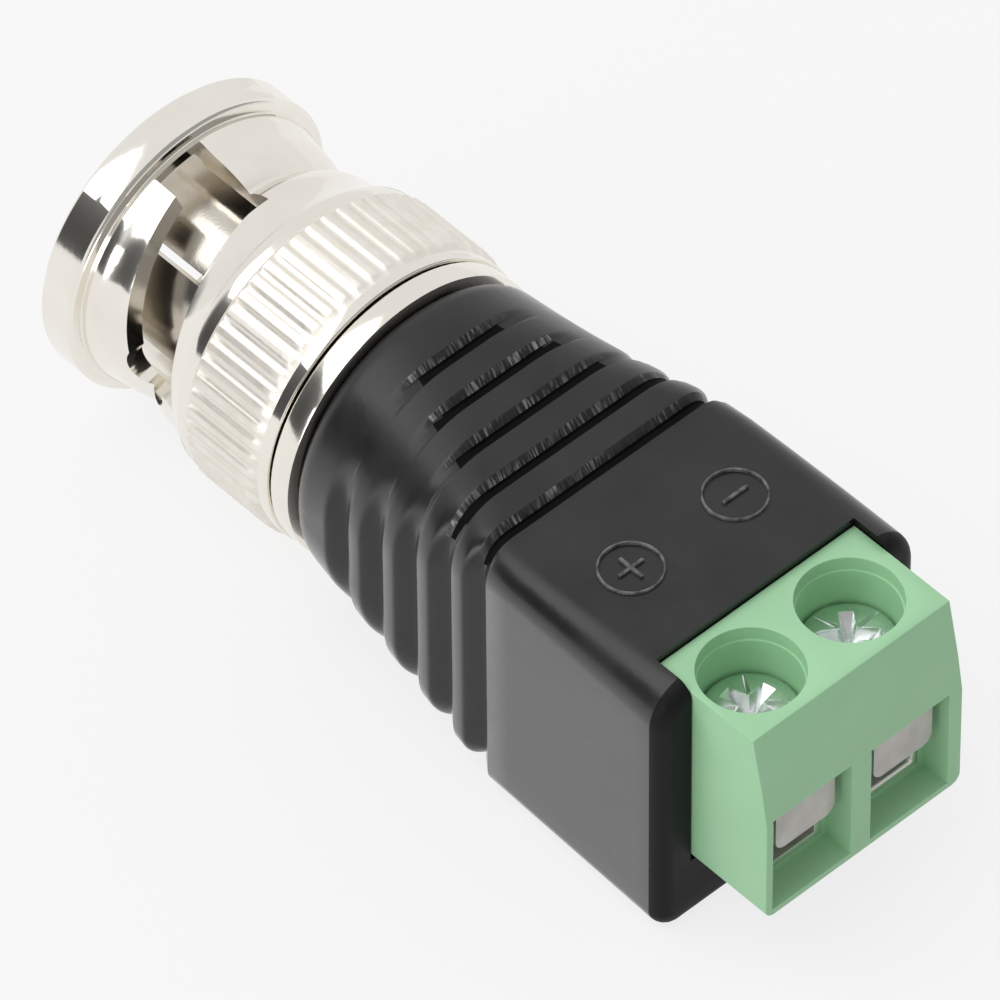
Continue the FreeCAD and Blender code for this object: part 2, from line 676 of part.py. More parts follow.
add_polygon(chamber_sketch, [
    ("- chamber_half", "- chamber_half"),
    ("chamber_half", "- chamber_half"),
    ("chamber_half", "chamber_half"),
    ("- chamber_half", "chamber_half"),
])
pocket(housing, "lead_chamber", chamber_sketch, "chamber_front - green_back")
doc.recompute()
bore_sketch = new_sketch(housing, "tail_bore_outline", "YZ_Plane", "housing_front + 0.2")
add_circle(bore_sketch, "0", "0", "hub_radius + gap_seat")
pocket(housing, "tail_bore", bore_sketch, "housing_front + 0.25 - chamber_front")
doc.recompute()

# Terminal block: moulded body with two driver wells and two wire windows
green = new_body("terminal_body")
side_sketch = new_sketch(green, "side_outline", "XZ_Plane")
add_polygon(side_sketch, [
    ("green_back", "green_bottom"),
    ("green_front", "green_bottom"),
    ("green_front", "green_knee"),
    ("green_front + 0.11", "green_top - 3.6"),
    ("green_front + 0.27", "green_top - 2.56"),
    ("green_top_front", "green_top"),
    ("green_back", "green_top"),
])
moulded = pad(green, "moulded", side_sketch, "2 * green_half", middle=True)
doc.recompute()
low_edges = []
for index, edge in enumerate(moulded.Shape.Edges, start=1):
    box = edge.BoundBox
    low = abs(box.ZMax - number("green_bottom")) < 1e-4
    if low and box.XLength > 1 and box.YLength < 1e-4:
        low_edges.append("Edge%d" % index)
fillet(green, "lower_round", moulded, low_edges, "green_edge")
mouth_circles = new_sketch(green, "well_mouth_outline", "XY_Plane", "green_top")
well_circles = new_sketch(green, "well_outline", "XY_Plane", "well_step + 0.05")
for pole in ("pole_positive", "pole_negative"):
    add_circle(mouth_circles, "well_x", pole, "well_mouth_radius")
    add_circle(well_circles, "well_x", pole, "well_radius")
pocket(green, "well_mouths", mouth_circles, "green_top - well_step")
doc.recompute()
pocket(green, "wells", well_circles, "well_step + 0.05 - cage_top - gap_run")
doc.recompute()


def box_outline(sketch, middle, half, low, high):
    add_polygon(sketch, [
        (middle + " - ( " + half + " )", low),
        (middle + " + ( " + half + " )", low),
        (middle + " + ( " + half + " )", high),
        (middle + " - ( " + half + " )", high),
    ])


window_sketch = new_sketch(green, "window_outline", "YZ_Plane", "green_front")
room_sketch = new_sketch(green, "guard_room_outline", "YZ_Plane", "window_wall")
seat_of_cage = new_sketch(green, "cage_seat_outline", "YZ_Plane", "cage_front - 0.05")
tail_slot = new_sketch(green, "tail_slot_outline", "YZ_Plane", "cage_rear")
for pole in ("pole_positive", "pole_negative"):
    box_outline(window_sketch, pole, "window_half", "window_bottom", "window_top")
    box_outline(room_sketch, pole, "guard_half + gap_run", "window_top - 0.3", "guard_room_top")
    box_outline(seat_of_cage, pole, "cage_half + gap_seat",
                "cage_bottom - gap_seat", "cage_top + gap_run")
    box_outline(tail_slot, pole, "tail_half + gap_run",
                "cage_bottom - gap_seat", "cage_bottom + cage_wall + gap_run")
pocket(green, "wire_windows", window_sketch, "cage_front - green_front", reverse=True)
doc.recompute()
pocket(green, "guard_rooms", room_sketch, "cage_front - window_wall", reverse=True)
doc.recompute()
pocket(green, "cage_seats", seat_of_cage, "cage_rear - cage_front + 0.05 + gap_run", reverse=True)
doc.recompute()
pocket(green, "tail_slots", tail_slot, "green_back - cage_rear + 0.3", reverse=True)
doc.recompute()

# Metal of each pole: contact frame, wire guard and terminal screw
for word, pole in (("positive", "pole_positive"), ("negative", "pole_negative")):
    cage = new_body("contact_frame_" + word)
    wall_sketch = new_sketch(cage, "cage_outline_" + word, "YZ_Plane", "cage_front")
    box_outline(wall_sketch, pole, "cage_half", "cage_bottom", "cage_top")
    box_outline(wall_sketch, pole, "cage_half - cage_wall",
                "cage_bottom + cage_wall", "cage_roof")
    pad(cage, "cage_" + word, wall_sketch, "cage_rear - cage_front")
    doc.recompute()
    hole_sketch = new_sketch(cage, "thread_outline_" + word, "XY_Plane", "cage_top")
    add_circle(hole_sketch, "well_x", pole, "screw_radius + gap_run")
    pocket(cage, "thread_hole_" + word, hole_sketch, "cage_top - cage_roof + 0.05")
    doc.recompute()
    tail_sketch = new_sketch(cage, "tail_outline_" + word, "YZ_Plane", "cage_rear")
    box_outline(tail_sketch, pole, "tail_half", "cage_bottom", "cage_bottom + cage_wall")
    pad(cage, "solder_tail_" + word, tail_sketch, "tail_out - cage_rear")
    doc.recompute()

    guard = new_body("wire_guard_" + word)
    leg_sketch = new_sketch(guard, "leg_outline_" + word, "YZ_Plane", "guard_front")
    add_rounded(leg_sketch, pole + " - guard_half", pole + " + guard_half",
                "guard_low", "guard_high", "guard_corner")
    pad(guard, "leg_" + word, leg_sketch, "guard_thick")
    doc.recompute()
    tongue_sketch = new_sketch(guard, "tongue_outline_" + word, "YZ_Plane",
                               "guard_front + guard_thick")
    box_outline(tongue_sketch, pole, "guard_tongue_half", "guard_low", "guard_tongue_top")
    pad(guard, "tongue_" + word, tongue_sketch,
        "guard_tongue_rear - guard_front - guard_thick")
    doc.recompute()

    screw = new_body("terminal_screw_" + word)
    turned_sketch = new_sketch(screw, "screw_outline_" + word, "XZ_Plane")
    add_polygon(turned_sketch, [
        ("0", "screw_tip"),
        ("screw_radius - 0.3", "screw_tip"),
        ("screw_radius", "screw_tip + 0.3"),
        ("screw_radius", "screw_head_low"),
        ("screw_head_radius", "screw_head_low"),
        ("screw_head_radius", "screw_head_top - screw_edge"),
        ("screw_head_radius - 0.09", "screw_head_top - 0.09"),
        ("screw_head_radius - screw_edge", "screw_head_top"),
        ("0", "screw_head_top"),
    ])
    turned = screw.newObject("PartDesign::Revolution", "screw_turned_" + word)
    turned.Profile = turned_sketch
    turned.ReferenceAxis = (turned_sketch, ["V_Axis"])
    turned.Angle = 360.0
    doc.recompute()
    recess_sketch = new_sketch(screw, "recess_outline_" + word, "XY_Plane", "screw_head_top")
    arm = "recess_arm"
    thin = "recess_half"
    add_polygon(recess_sketch, [
        ("- " + arm, "- " + thin), ("- " + thin, "- " + thin), ("- " + thin, "- " + arm),
        (thin, "- " + arm), (thin, "- " + thin), (arm, "- " + thin),
        (arm, thin), (thin, thin), (thin, arm),
        ("- " + thin, arm), ("- " + thin, thin), ("- " + arm, thin),
    ])
    pocket(screw, "recess_" + word, recess_sketch, "screw_head_top - recess_floor")
    screw.Placement = FreeCAD.Placement(
        FreeCAD.Vector(number("well_x"), number(pole), 0), FreeCAD.Rotation())
    screw.setExpression("Placement.Base.x", formula("well_x"))
    screw.setExpression("Placement.Base.y", formula(pole))
    doc.recompute()

# Leads: a bent wire runs in space, so each is one shape of straight lengths and round bends


def lead(label, corners, radius, bore=0.0):
    """Round rod or tube through the corners, bent with one radius at each inner corner."""
    points = [FreeCAD.Vector(*corner) for corner in corners]
    bend = number("lead_bend")
    ways = [(points[i + 1] - points[i]).normalize() for i in range(len(points) - 1)]

    def section(place, along):
        discs = [Part.Face(Part.Wire([Part.makeCircle(size, place, along)]))
                 for size in (radius, bore) if size > 0]
        return discs[0].cut(discs[1]).Faces[0] if len(discs) == 2 else discs[0]

    place = points[0]
    solids = []
    for index, way in enumerate(ways):
        last = index == len(ways) - 1
        finish = points[index + 1]
        if not last:
            turn = way.getAngle(ways[index + 1])
            reach = bend * math.tan(turn / 2)
            finish = points[index + 1] - way * reach
        solids.append(section(place, way).extrude(finish - place))
        if not last:
            axis = way.cross(ways[index + 1]).normalize()
            centre = finish + axis.cross(way) * bend
            solids.append(section(finish, way).revolve(centre, axis, math.degrees(turn)))
            place = points[index + 1] + ways[index + 1] * reach
    feature = doc.addObject("Part::Feature", label)
    feature.Label = label
    feature.Shape = solids[0].multiFuse(solids[1:]).removeSplitter()
    feature.Placement = FreeCAD.Placement()
    return feature


core = number("lead_core_radius")
jacket = number("lead_jacket_radius")
seat = number("gap_seat")
cup = number("pin_rear")
solder_z = number("cage_bottom + cage_wall + lead_core_radius + gap_seat")
solder_x = number("green_back + 0.3")
tail_x = number("tail_out")
plus_y = number("pole_positive")
minus_y = number("pole_negative")
shell_x = number("tail_end - gap_seat")
shell_r = number("( sleeve_bore + hub_radius ) / 2") / math.sqrt(2)
lead("signal_lead_core", [
    (cup + 1.35, 0, 0), (cup - 1.6, 0, 0),
    (tail_x + 1.6, plus_y, solder_z), (solder_x, plus_y, solder_z)], core)
lead("signal_lead_jacket", [
    (cup - 0.3, 0, 0), (cup - 1.6, 0, 0),
    (tail_x + 1.6, plus_y, solder_z), (tail_x + 0.4, plus_y, solder_z)], jacket, core + seat)
lead("ground_lead_core", [
    (shell_x, -shell_r, -shell_r), (shell_x - 3.0, -shell_r, -shell_r),
    (tail_x + 1.6, minus_y, solder_z), (solder_x, minus_y, solder_z)], core)
lead("ground_lead_jacket", [
    (shell_x - 0.6, -shell_r, -shell_r), (shell_x - 3.0, -shell_r, -shell_r),
    (tail_x + 1.6, minus_y, solder_z), (tail_x + 0.4, minus_y, solder_z)], jacket, core + seat)
doc.recompute()

NODES = [
    "coupling_nut", "thrust_washer", "spring_washer", "seal_gasket", "plug_shell",
    "body_collar", "insulator", "center_pin", "housing", "terminal_body",
    "contact_frame_positive", "contact_frame_negative",
    "wire_guard_positive", "wire_guard_negative",
    "terminal_screw_positive", "terminal_screw_negative",
    "signal_lead_core", "signal_lead_jacket", "ground_lead_core", "ground_lead_jacket",
]
for item in doc.Objects:
    if "Invalid" in item.State or "Error" in item.State:
        raise RuntimeError("feature fails: " + item.Name)
for item in doc.Objects:
    if item.TypeId in ("PartDesign::Pocket", "PartDesign::Groove"):
        taken = item.BaseFeature.Shape.Volume - item.Shape.Volume
        if taken <= 0:
            raise RuntimeError("cut takes nothing away: " + item.Name)
for label in NODES:
    found = doc.getObjectsByLabel(label)[0]
    shape = found.Shape
    if shape.isNull() or not shape.isValid() or len(shape.Solids) != 1:
        raise RuntimeError("shape fails: " + label)
    print("%-26s %9.3f mm3" % (label, shape.Volume))
for label in NODES:
    doc.getObjectsByLabel(label)[0].Shape.exportStep("parts/" + label + ".step")
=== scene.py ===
import math

import bmesh
import bpy
from mathutils import Matrix, Vector


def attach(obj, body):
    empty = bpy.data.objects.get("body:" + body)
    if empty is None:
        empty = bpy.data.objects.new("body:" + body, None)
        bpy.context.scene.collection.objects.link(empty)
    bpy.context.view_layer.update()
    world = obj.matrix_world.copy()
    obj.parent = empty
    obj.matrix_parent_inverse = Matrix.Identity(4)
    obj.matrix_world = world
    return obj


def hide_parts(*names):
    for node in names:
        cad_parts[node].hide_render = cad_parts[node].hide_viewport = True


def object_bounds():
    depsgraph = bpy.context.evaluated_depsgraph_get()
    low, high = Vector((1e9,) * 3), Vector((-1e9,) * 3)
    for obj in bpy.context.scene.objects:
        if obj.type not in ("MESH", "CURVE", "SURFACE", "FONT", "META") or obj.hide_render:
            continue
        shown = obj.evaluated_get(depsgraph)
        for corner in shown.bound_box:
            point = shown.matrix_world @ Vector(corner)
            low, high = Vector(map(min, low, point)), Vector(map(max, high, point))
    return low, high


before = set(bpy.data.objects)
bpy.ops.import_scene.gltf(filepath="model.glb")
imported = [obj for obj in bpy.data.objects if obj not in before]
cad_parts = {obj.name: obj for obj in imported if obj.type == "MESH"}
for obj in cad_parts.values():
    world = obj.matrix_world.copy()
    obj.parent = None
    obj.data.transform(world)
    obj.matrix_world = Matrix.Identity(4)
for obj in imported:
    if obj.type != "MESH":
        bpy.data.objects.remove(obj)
CAD_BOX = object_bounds()

MM = 0.001

# Camera that was fitted to the photograph: axes of the view and distance from the aim point
VIEW_RIGHT = Vector((-0.6796, -0.7336, -0.0064))
VIEW_UP = Vector((0.5457, -0.5114, 0.6638))
VIEW_BACK = Vector((-0.4902, 0.4477, 0.7478))
AIM = Vector((-18.2, 0.0, 0.0)) * MM
AIM_DROP = 0.435 * MM
DISTANCE = 500.0 * MM
FOCAL_PIXELS = 13272.0
FRAME_PIXELS = 1000.0
SENSOR = 36.0


def add_camera():
    data = bpy.data.cameras.new("photo_camera")
    data.sensor_width = SENSOR
    data.lens = SENSOR * FOCAL_PIXELS / FRAME_PIXELS
    data.clip_start = 0.01
    data.clip_end = 10.0
    camera = bpy.data.objects.new("photo_camera", data)
    bpy.context.scene.collection.objects.link(camera)
    place = AIM + VIEW_BACK * DISTANCE - VIEW_UP * AIM_DROP
    turn = Matrix((VIEW_RIGHT, VIEW_UP, VIEW_BACK)).transposed().to_4x4()
    camera.matrix_world = Matrix.Translation(place) @ turn
    bpy.context.scene.camera = camera


# Materials


class Nodes:
    """Short way to wire a material's node tree."""

    def __init__(self, tree):
        self.tree = tree

    def add(self, kind, inputs=None, **settings):
        node = self.tree.nodes.new(kind)
        for key, value in settings.items():
            setattr(node, key, value)
        for key, value in (inputs or {}).items():
            if isinstance(value, bpy.types.NodeSocket):
                self.tree.links.new(value, node.inputs[key])
            else:
                node.inputs[key].default_value = value
        return node


def new_material(name, **shader):
    material = bpy.data.materials.new(name)
    material.use_nodes = True
    tree = material.node_tree
    tree.nodes.clear()
    nodes = Nodes(tree)
    out = nodes.add("ShaderNodeOutputMaterial")
    inputs = {key.replace("_", " "): value for key, value in shader.items()}
    bsdf = nodes.add("ShaderNodeBsdfPrincipled", inputs)
    tree.links.new(bsdf.outputs["BSDF"], out.inputs["Surface"])
    place = nodes.add("ShaderNodeTexCoord").outputs["Object"]
    return material, nodes, bsdf, place


def noise(nodes, place, scale, detail=3.0, stretch=(1.0, 1.0, 1.0)):
    mapped = nodes.add("ShaderNodeMapping", {"Vector": place, "Scale": stretch})
    texture = nodes.add("ShaderNodeTexNoise", {
        "Vector": mapped.outputs["Vector"], "Scale": scale, "Detail": detail})
    return texture.outputs["Fac"]


def spread(nodes, value, low, high, first=0.3, last=0.7):
    ranged = nodes.add("ShaderNodeMapRange", {
        "Value": value, "From Min": first, "From Max": last, "To Min": low, "To Max": high})
    return ranged.outputs["Result"]


def blend_colours(nodes, factor, first, second):
    mixed = nodes.add("ShaderNodeMix", data_type="RGBA")
    nodes.tree.links.new(factor, mixed.inputs["Factor"])
    mixed.inputs["A"].default_value = (*first, 1.0)
    mixed.inputs["B"].default_value = (*second, 1.0)
    return mixed.outputs["Result"]


def surface(name, first, second, rough, scale, bump=0.0, bump_scale=0.0, **shader):
    """Material with slow changes of colour and gloss and a fine relief."""
    material, nodes, bsdf, place = new_material(name, **shader)
    cloud = noise(nodes, place, scale)
    level = spread(nodes, cloud, 0.0, 1.0)
    nodes.tree.links.new(blend_colours(nodes, level, first, second), bsdf.inputs["Base Color"])
    nodes.tree.links.new(spread(nodes, cloud, *rough), bsdf.inputs["Roughness"])
    if bump:
        fine = noise(nodes, place, bump_scale, 4.0)
        relief = nodes.add("ShaderNodeBump", {
            "Height": fine, "Strength": bump, "Distance": 0.02 * MM})
        nodes.tree.links.new(relief.outputs["Normal"], bsdf.inputs["Normal"])
    return material


def gloss_by_facing(material, low, high):
    """More lacquer gloss on upright faces than on faces that look up or back."""
    nodes = Nodes(material.node_tree)
    bsdf = next(node for node in material.node_tree.nodes if node.type == "BSDF_PRINCIPLED")
    facing = nodes.add("ShaderNodeTexCoord").outputs["Normal"]
    parts = nodes.add("ShaderNodeSeparateXYZ", {0: facing})
    upright = nodes.add("ShaderNodeMapRange", {
        "Value": parts.outputs["Z"], "From Min": 0.15, "From Max": 0.98, "To Min": high,
        "To Max": low}, interpolation_type="SMOOTHSTEP")
    open_side = nodes.add("ShaderNodeMapRange", {
        "Value": parts.outputs["X"], "From Min": -0.55, "From Max": -0.08, "To Min": 0.25,
        "To Max": 1.0}, interpolation_type="SMOOTHSTEP")
    gloss = nodes.add("ShaderNodeMath", {
        0: upright.outputs["Result"], 1: open_side.outputs["Result"]}, operation="MULTIPLY")
    nodes.tree.links.new(gloss.outputs[0], bsdf.inputs["Coat Weight"])


def lip_highlight_strokes():
    """Painted highlight: short pale strokes down a groove's front wall, denser in some places than
    in others.
    """
    material, nodes, bsdf, place = new_material("lip_painted_highlight")
    strokes = spread(nodes, noise(nodes, place, 9000.0, 2.0, (0.12, 1.0, 0.12)), 0.0, 1.0,
                     0.46, 0.68)
    patches = spread(nodes, noise(nodes, place, 700.0, 2.0), 0.08, 1.0, 0.43, 0.62)
    level = nodes.add("ShaderNodeMath", {0: strokes, 1: patches}, operation="MULTIPLY")
    nodes.tree.links.new(blend_colours(nodes, level.outputs[0], (0.018, 0.0183, 0.0187),
                                       (0.32, 0.322, 0.328)), bsdf.inputs["Base Color"])
    nodes.tree.links.new(spread(nodes, level.outputs[0], 0.40, 0.58, 0.0, 1.0),
                         bsdf.inputs["Roughness"])
    return material


NICKEL = surface("nickel_plating", (0.89, 0.86, 0.80), (0.85, 0.81, 0.74), (0.08, 0.14),
                 420.0, 0.25, 1500.0, Metallic=1.0)
SATIN = surface("nickel_satin", (0.91, 0.875, 0.81), (0.85, 0.805, 0.73), (0.40, 0.52),
                1400.0, 0.3, 5000.0, Metallic=1.0)
SHELL = surface("nickel_shell", (0.66, 0.62, 0.56), (0.54, 0.50, 0.44), (0.14, 0.22),
                700.0, 0.15, 9000.0, Metallic=1.0)
STEEL = surface("spring_steel", (0.62, 0.62, 0.62), (0.52, 0.52, 0.52), (0.22, 0.34),
                900.0, 0.2, 8000.0, Metallic=1.0)
SEAL = surface("seal_rubber", (0.018, 0.018, 0.018), (0.028, 0.028, 0.028), (0.45, 0.6), 600.0,
               0.2, 6000.0)
DIELECTRIC = surface("insulating_plastic", (0.86, 0.86, 0.83), (0.80, 0.80, 0.77), (0.35, 0.5),
                     500.0, 0.1, 5000.0)
GOLD = surface("contact_gold", (0.85, 0.64, 0.28), (0.78, 0.57, 0.24), (0.16, 0.26), 800.0,
               0.1, 8000.0, Metallic=1.0)
BLACK = surface("black_moulding", (0.008, 0.0083, 0.0088), (0.016, 0.0164, 0.0172), (0.25, 0.38),
                380.0, 0.45, 3000.0, IOR=1.42, Coat_IOR=1.48, Coat_Roughness=0.28)
gloss_by_facing(BLACK, 0.15, 1.0)
# Matt black for the rear end, darker than the moulding as painted shade.
BLACK_REAR_SHADE = surface("black_end_painted_shade", (0.007, 0.0072, 0.0074), (0.012, 0.0122, 0.0125), (0.42, 0.55),
                    600.0, 0.4, 3000.0, Specular_IOR_Level=0.12)
# Painted shade: near-black tone for the floors of the top grooves, where shade falls.
GROOVE_SHADE = surface("groove_painted_shade", (0.004, 0.004, 0.004), (0.007, 0.007, 0.0072),
                       (0.55, 0.65), 600.0, Specular_IOR_Level=0.04)
# Painted highlight for the front walls of the top grooves.
LIP_HIGHLIGHT = lip_highlight_strokes()
GREEN = surface("green_moulding", (0.365, 0.665, 0.39), (0.395, 0.695, 0.42), (0.38, 0.46),
                420.0, 0.12, 4200.0, Specular_IOR_Level=0.4)
TIN = surface("tin_plating", (0.93, 0.92, 0.89), (0.84, 0.83, 0.80), (0.30, 0.42), 900.0,
              0.2, 8000.0, Metallic=1.0)
GUARD = surface("guard_steel", (0.54, 0.52, 0.485), (0.46, 0.445, 0.42), (0.42, 0.55), 900.0,
                0.3, 7000.0, Metallic=0.6)
ZINC = surface("zinc_plating", (0.88, 0.90, 0.89), (0.70, 0.74, 0.73), (0.16, 0.30), 1300.0,
               0.9, 1500.0, Metallic=1.0)
COPPER = surface("tinned_copper", (0.72, 0.50, 0.36), (0.66, 0.46, 0.33), (0.24, 0.34), 900.0,
                 0.1, 8000.0, Metallic=1.0)
RED = surface("red_insulation", (0.45, 0.03, 0.03), (0.38, 0.03, 0.03), (0.4, 0.5), 700.0,
              0.1, 6000.0)
DARK = surface("black_insulation", (0.03, 0.03, 0.03), (0.04, 0.04, 0.04), (0.4, 0.5), 700.0,
               0.1, 6000.0)
# Pale mottled grey for the raised polarity marks: a painted glint.
MARK_GLINT = surface("mark_painted_glint", (0.03, 0.03, 0.032), (0.20, 0.205, 0.21), (0.4, 0.6), 2400.0,
               0.3, 5200.0)

FINISH = {
    "coupling_nut": NICKEL, "thrust_washer": STEEL, "spring_washer": STEEL,
    "seal_gasket": SEAL, "plug_shell": SHELL, "body_collar": NICKEL,
    "insulator": DIELECTRIC, "center_pin": GOLD, "housing": BLACK, "terminal_body": GREEN,
    "contact_frame_positive": TIN, "contact_frame_negative": TIN,
    "wire_guard_positive": GUARD, "wire_guard_negative": GUARD,
    "terminal_screw_positive": ZINC, "terminal_screw_negative": ZINC,
    "signal_lead_core": COPPER, "signal_lead_jacket": RED,
    "ground_lead_core": COPPER, "ground_lead_jacket": DARK,
}


def dress(node, material):
    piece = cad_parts[node]
    for index in range(len(piece.material_slots)):
        piece.material_slots[index].material = material


for node, material in FINISH.items():
    dress(node, material)


# Mesh helpers, sizes in millimetres


def mesh_object(name, vertices, faces):
    mesh = bpy.data.meshes.new(name)
    mesh.from_pydata([(a * MM, b * MM, c * MM) for a, b, c in vertices], [], faces)
    mesh.validate()
    mesh.update()
    piece = bpy.data.objects.new(name, mesh)
    bpy.context.scene.collection.objects.link(piece)
    return piece


def turned(name, outline, steps, depth_at=None):
    """Closed ring about the plug axis; an outline point is (x, radius, share of the knurl)."""
    vertices = []
    for step in range(steps):
        turn = 2 * math.pi * step / steps
        for point in outline:
            x, radius = point[0], point[1]
            if depth_at and len(point) > 2:
                radius -= depth_at(step) * point[2]
            vertices.append((x, radius * math.sin(turn), radius * math.cos(turn)))
    count = len(outline)
    faces = []
    for step in range(steps):
        here, there = step * count, (step + 1) % steps * count
        for index in range(count):
            after = (index + 1) % count
            faces.append((here + index, there + index, there + after, here + after))
    return mesh_object(name, vertices, faces)


def arc(first, last, bulge, count=8):
    """Points from first to last that swell sideways by bulge."""
    ax, ar = first
    bx, br = last
    length = math.hypot(bx - ax, br - ar)
    nx, nr = -(br - ar) / length, (bx - ax) / length
    points = []
    for index in range(1, count + 1):
        share = index / count
        push = 4 * bulge * share * (1 - share)
        points.append((ax + (bx - ax) * share + nx * push, ar + (br - ar) * share + nr * push))
    return points


def strip(name, edges, inner, outer):
    """Closed cutter between two radii; edges are (degrees, front x, rear x)."""
    vertices = []
    for degrees, front, rear in edges:
        turn = math.radians(degrees)
        for x, radius in ((front, inner), (front, outer), (rear, outer), (rear, inner)):
            vertices.append((x, radius * math.sin(turn), radius * math.cos(turn)))
    last = 4 * (len(edges) - 1)
    faces = [(0, 1, 2, 3), (last + 3, last + 2, last + 1, last)]
    for step in range(len(edges) - 1):
        base = 4 * step
        for index in range(4):
            after = (index + 1) % 4
            faces.append((base + index, base + 4 + index, base + 4 + after, base + after))
    return mesh_object(name, vertices, faces)


def block(name, low, high):
    """Plain box between two corners."""
    corners = [(x, y, z) for x in (low[0], high[0]) for y in (low[1], high[1])
               for z in (low[2], high[2])]
    faces = [(0, 1, 3, 2), (4, 6, 7, 5), (0, 4, 5, 1), (2, 3, 7, 6), (0, 2, 6, 4), (1, 5, 7, 3)]
    return mesh_object(name, corners, faces)


def lathe(name, outline, steps, centre):
    """Closed solid about an upright axis; an outline point is (radius, z), first and last at 0."""
    cx, cy = centre
    vertices = [(cx, cy, outline[0][1]), (cx, cy, outline[-1][1])]
    inner = outline[1:-1]
    for step in range(steps):
        turn = 2 * math.pi * step / steps
        for radius, z in inner:
            vertices.append((cx + radius * math.cos(turn), cy + radius * math.sin(turn), z))
    count = len(inner)
    faces = []
    for step in range(steps):
        here, there = 2 + step * count, 2 + (step + 1) % steps * count
        faces.append((0, here, there))
        faces.append((1, there + count - 1, here + count - 1))
        for index in range(count - 1):
            faces.append((here + index, here + index + 1, there + index + 1, there + index))
    return mesh_object(name, vertices, faces)


def outward(piece):
    held = bmesh.new()
    held.from_mesh(piece.data)
    bmesh.ops.recalc_face_normals(held, faces=held.faces)
    held.to_mesh(piece.data)
    held.free()


def cut(piece, cutters):
    for cutter in cutters:
        outward(cutter)
        knife = piece.modifiers.new("cut", "BOOLEAN")
        knife.operation = "DIFFERENCE"
        knife.solver = "EXACT"
        knife.object = cutter


def settle(piece, cutters=()):
    """Keep the evaluated mesh and drop the cutters."""
    graph = bpy.context.evaluated_depsgraph_get()
    mesh = bpy.data.meshes.new_from_object(piece.evaluated_get(graph))
    piece.modifiers.clear()
    old = piece.data
    piece.data = mesh
    bpy.data.meshes.remove(old)
    for cutter in cutters:
        bpy.data.objects.remove(cutter)


def soften(piece, width, segments=2, angle=40.0):
    bevel = piece.modifiers.new("soften", "BEVEL")
    bevel.width = width * MM
    bevel.segments = segments
    bevel.limit_method = "ANGLE"
    bevel.angle_limit = math.radians(angle)
    bevel.harden_normals = False


def smooth(piece, angle=35.0):
    mesh = piece.data
    mesh.polygons.foreach_set("use_smooth", [True] * len(mesh.polygons))
    mesh.set_sharp_from_angle(angle=math.radians(angle))


MOVING = ("coupling_nut", "thrust_washer", "wire_guard_positive", "wire_guard_negative",
          "terminal_screw_positive", "terminal_screw_negative")


def finish_piece(piece, node, material):
    """Give a detailed piece its surface and let it stand for the solid of its node."""
    piece.data.materials.clear()
    piece.data.materials.append(material)
    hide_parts(node)
    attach(piece, node if node in MOVING else "adapter")


def rounded_copy(node, name, width, segments=2, angle=30.0):
    """Copy of a solid with its edges softened."""
    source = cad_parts[node]
    mesh = source.data.copy()
    mesh.transform(source.matrix_world)
    held = bmesh.new()
    held.from_mesh(mesh)
    bmesh.ops.remove_doubles(held, verts=held.verts, dist=0.0005 * MM)
    bmesh.ops.dissolve_limit(held, angle_limit=math.radians(0.6), verts=held.verts,
                             edges=held.edges)
    bmesh.ops.recalc_face_normals(held, faces=held.faces)
    held.to_mesh(mesh)
    held.free()
    piece = bpy.data.objects.new(name, mesh)
    bpy.context.scene.collection.objects.link(piece)
    soften(piece, width, segments, angle)
    settle(piece)
    smooth(piece, 32.0)
    return piece


# Coupling nut: turned and knurled ring with cam windows, lug channels and round seats

KNURL_COUNT = 54
KNURL_STEPS = 10
KNURL_WAVE = (0, 0, 0, 0, 0, 0.5, 1, 1, 1, 0.5)
KNURL_DEPTH = 0.085
KNURL_FRONT, KNURL_REAR, KNURL_INNER = -7.74, -11.72, 6.2
REST_TURN = 11.0
CAM_LEAD = 5.4
WINDOW_HALF, WINDOW_STEPS = 11.0, 48
WINDOW_FRONT, WINDOW_REAR, CAM_FRONT = -1.45, -5.35, -2.35
SEAT_TURN, SEAT_HALF = 84.0, 11.9
SEAT_X, SEAT_RADIUS = -4.55, 1.15
WINDOW_RADII = (4.4, 7.4)
CHANNEL_TURNS = (-12.4, -6.0, 0.0, 6.0, 12.4)
CHANNEL_FRONT, CHANNEL_REAR = 1.0, -1.6
CHANNEL_RADII = (4.2, 5.6)


def nut_outline():
    bore, rim, step, neck, collar, tip = 4.9, 6.6, 6.05, 5.35, 6.5, 6.65
    points = [(0.64, bore + 0.2), (0.64, rim - 0.28)]
    points += arc((0.64, rim - 0.28), (0.40, rim), 0.05, 4)
    points += [(-0.4, rim), (-1.05, rim)]
    points += arc((-1.05, rim), (-1.2, rim - 0.15), 0.03, 3)
    points += [(-1.24, step + 0.06)]
    points += arc((-1.24, step + 0.06), (-1.3, step), -0.02, 2)
    points += [(-1.62, step)]
    points += arc((-1.62, step), (-2.8, 5.83), 0.035, 5)
    points += arc((-2.8, 5.83), (-4.3, neck), -0.06, 8)
    points += arc((-4.3, neck), (-5.6, 5.95), -0.14, 8)
    points += arc((-5.6, 5.95), (-7.2, collar), 0.10, 8)
    points += [(-7.45, collar), (-7.74, collar)]
    points += [(-7.75, collar, 0.0), (-7.90, tip, 0.6), (-7.95, tip, 1.0)]
    points += [(-8.5, tip, 1.0), (-9.7, tip, 1.0), (-10.9, tip, 1.0)]
    points += [(-11.3, tip, 1.0), (-11.5, tip - 0.05, 0.6), (-11.7, collar - 0.02, 0.0)]
    points += [(-11.71, collar - 0.02), (-12.15, collar - 0.02)]
    points += arc((-12.15, collar - 0.02), (-12.2, collar - 0.07), 0.01, 2)
    points += [(-12.2, 4.4), (-12.05, 4.25), (-9.55, 4.25), (-9.55, bore), (0.44, bore)]
    return points


